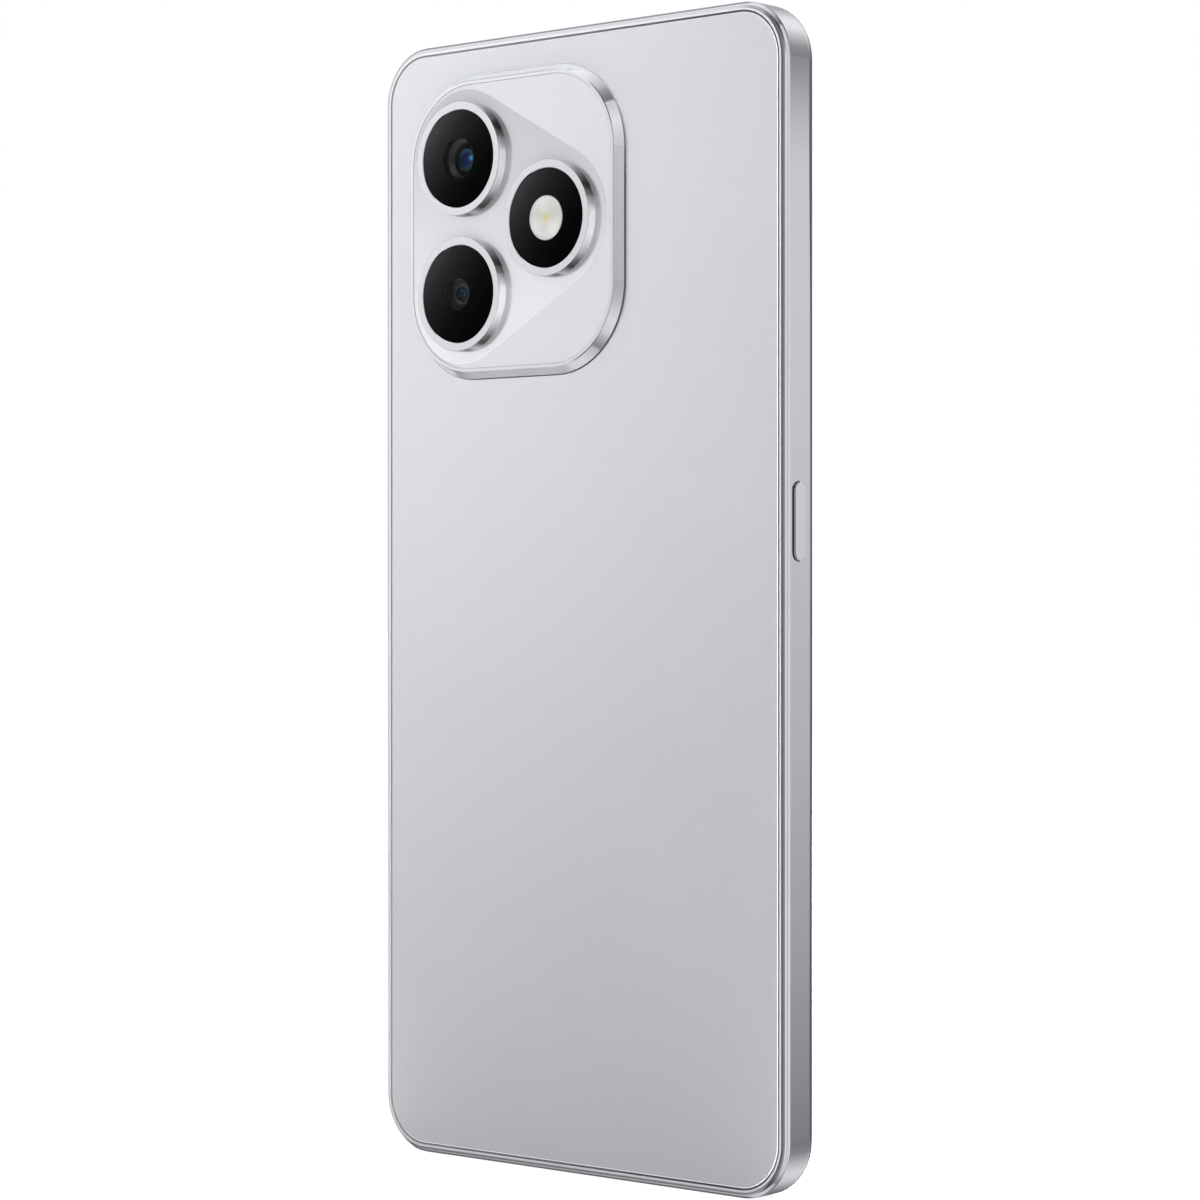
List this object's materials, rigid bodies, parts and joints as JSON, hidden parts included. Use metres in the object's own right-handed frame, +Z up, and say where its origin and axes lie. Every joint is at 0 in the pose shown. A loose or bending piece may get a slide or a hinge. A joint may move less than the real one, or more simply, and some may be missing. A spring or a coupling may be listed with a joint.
{
  "type": "smartphone",
  "caption": "Touch-screen phone standing upright: silver back with a raised rounded camera island and ring-framed lenses, metal side frame, push keys, slide-out card tray.",
  "frame": {"origin": "middle of the box's bottom face: the lower edge stands on z = 0, and the depth includes the lens rings", "axes": "+X to the right seen from the display, +Y out of the rear panel, +Z up along the phone"},
  "size_m": [0.0776, 0.0102, 0.1633],
  "materials": {
    "frame_metal": "satin",
    "key_metal": "satin",
    "chassis_metal": "matte",
    "rear_panel": "satin",
    "island_panel": "satin",
    "zone_panel": "satin",
    "polished_trim": "polished",
    "lens_ring_metal": "polished",
    "lens_window": "polished",
    "flash_white": "satin",
    "phosphor": "matte",
    "camera_black": "matte",
    "coated_lens": "polished",
    "cover_glass": "polished",
    "display_stack": "gloss",
    "black_plastic": "matte",
    "adhesive": "matte",
    "flex_copper": "gloss",
    "mesh_steel": "matte",
    "battery_foil": "satin",
    "circuit_board": "satin",
    "steel": "satin",
    "brass_part": "satin",
    "seal_rubber": "matte",
    "sensor_black": "gloss"
  },
  "bodies": {
    "phone": {"mid_frame": "frame_metal", "chassis_plate": "chassis_metal", "rear_cover": "rear_panel", "rear_cover_adhesive": "adhesive", "island_bezel": "polished_trim", "island_plate": "island_panel", "lens_zone_panel": "zone_panel", "main_lens_ring": "lens_ring_metal", "lower_lens_ring": "lens_ring_metal", "flash_ring": "lens_ring_metal", "main_lens_glass": "lens_window", "lower_lens_glass": "lens_window", "flash_window": "lens_window", "flash_diffuser": "flash_white", "flash_led": "phosphor", "flash_reflector": "flash_white", "main_camera_housing": "camera_black", "lower_camera_housing": "camera_black", "lower_camera_lens": "coated_lens", "front_camera": "camera_black", "display_glass": "cover_glass", "display_panel": "display_stack", "display_bezel": "black_plastic", "display_adhesive": "adhesive", "display_flex": "flex_copper", "earpiece": "black_plastic", "earpiece_mesh": "mesh_steel", "battery": "battery_foil", "battery_adhesive": "adhesive", "battery_flex": "flex_copper", "main_board": "circuit_board", "shield_can_rear": "steel", "shield_can_front": "steel", "upper_bracket": "black_plastic", "lower_bracket": "black_plastic", "sub_board": "circuit_board", "main_flex": "flex_copper", "antenna_coax": "black_plastic", "usb_c_shell": "steel", "usb_c_tongue": "black_plastic", "loudspeaker_box": "black_plastic", "speaker_mesh": "mesh_steel", "microphones": "brass_part", "vibration_case": "steel", "sim_connector": "steel", "volume_key_pin": "steel", "key_switches_left": "steel", "key_switches_right": "steel", "screws": "steel"},
    "sim_tray": {"sim_tray": "key_metal", "sim_tray_seal": "seal_rubber"},
    "eject_rod": {"sim_eject_rod": "steel"},
    "eject_lever": {"sim_eject_lever": "steel"},
    "side_key": {"side_key": "key_metal"},
    "power_key": {"power_key": "key_metal", "fingerprint_sensor": "sensor_black"},
    "volume_key": {"volume_key": "key_metal"},
    "lens_barrel": {"main_camera_barrel": "camera_black", "main_camera_lens": "coated_lens"},
    "vibration_rotor": {"vibration_rotor": "brass_part"}
  },
  "joints": [
    {"name": "side_key_press", "type": "slide", "parent": "phone", "child": "side_key", "axis": [1, 0, 0], "range_m": [0, 0.00025], "stiffness_N_per_m": 8000},
    {"name": "power_key_press", "type": "slide", "parent": "phone", "child": "power_key", "axis": [-1, 0, 0], "range_m": [0, 0.00025], "stiffness_N_per_m": 8000},
    {"name": "volume_key_rock", "type": "hinge", "parent": "phone", "child": "volume_key", "pos_m": [0.03655, -0.00043, 0.119], "axis": [0, 1, 0], "range_deg": [-1.4, 1.4], "stiffness_Nm_per_rad": 0.57},
    {"name": "sim_tray_slide", "type": "slide", "parent": "phone", "child": "sim_tray", "axis": [0, 0, 1], "range_m": [0, 0.018]},
    {"name": "eject_lever_turn", "type": "hinge", "parent": "phone", "child": "eject_lever", "pos_m": [-0.0175, -0.00052, 0.1376], "axis": [0, 1, 0], "range_deg": [0, 5.5]},
    {"name": "eject_rod_slide", "type": "slide", "parent": "phone", "child": "eject_rod", "axis": [0, 0, -1], "range_m": [0, 0.000345]},
    {"name": "lens_focus", "type": "slide", "parent": "phone", "child": "lens_barrel", "axis": [0, 1, 0], "range_m": [0, 0.0003], "stiffness_N_per_m": 60},
    {"name": "vibration_spin", "type": "hinge", "parent": "phone", "child": "vibration_rotor", "pos_m": [-0.0265, 0.00023, 0.012], "axis": [0, 1, 0], "continuous": true}
  ],
  "couplings": [
    {"joint": "eject_lever_turn", "follows": "eject_rod_slide", "rad_per_m": 277.78}
  ]
}
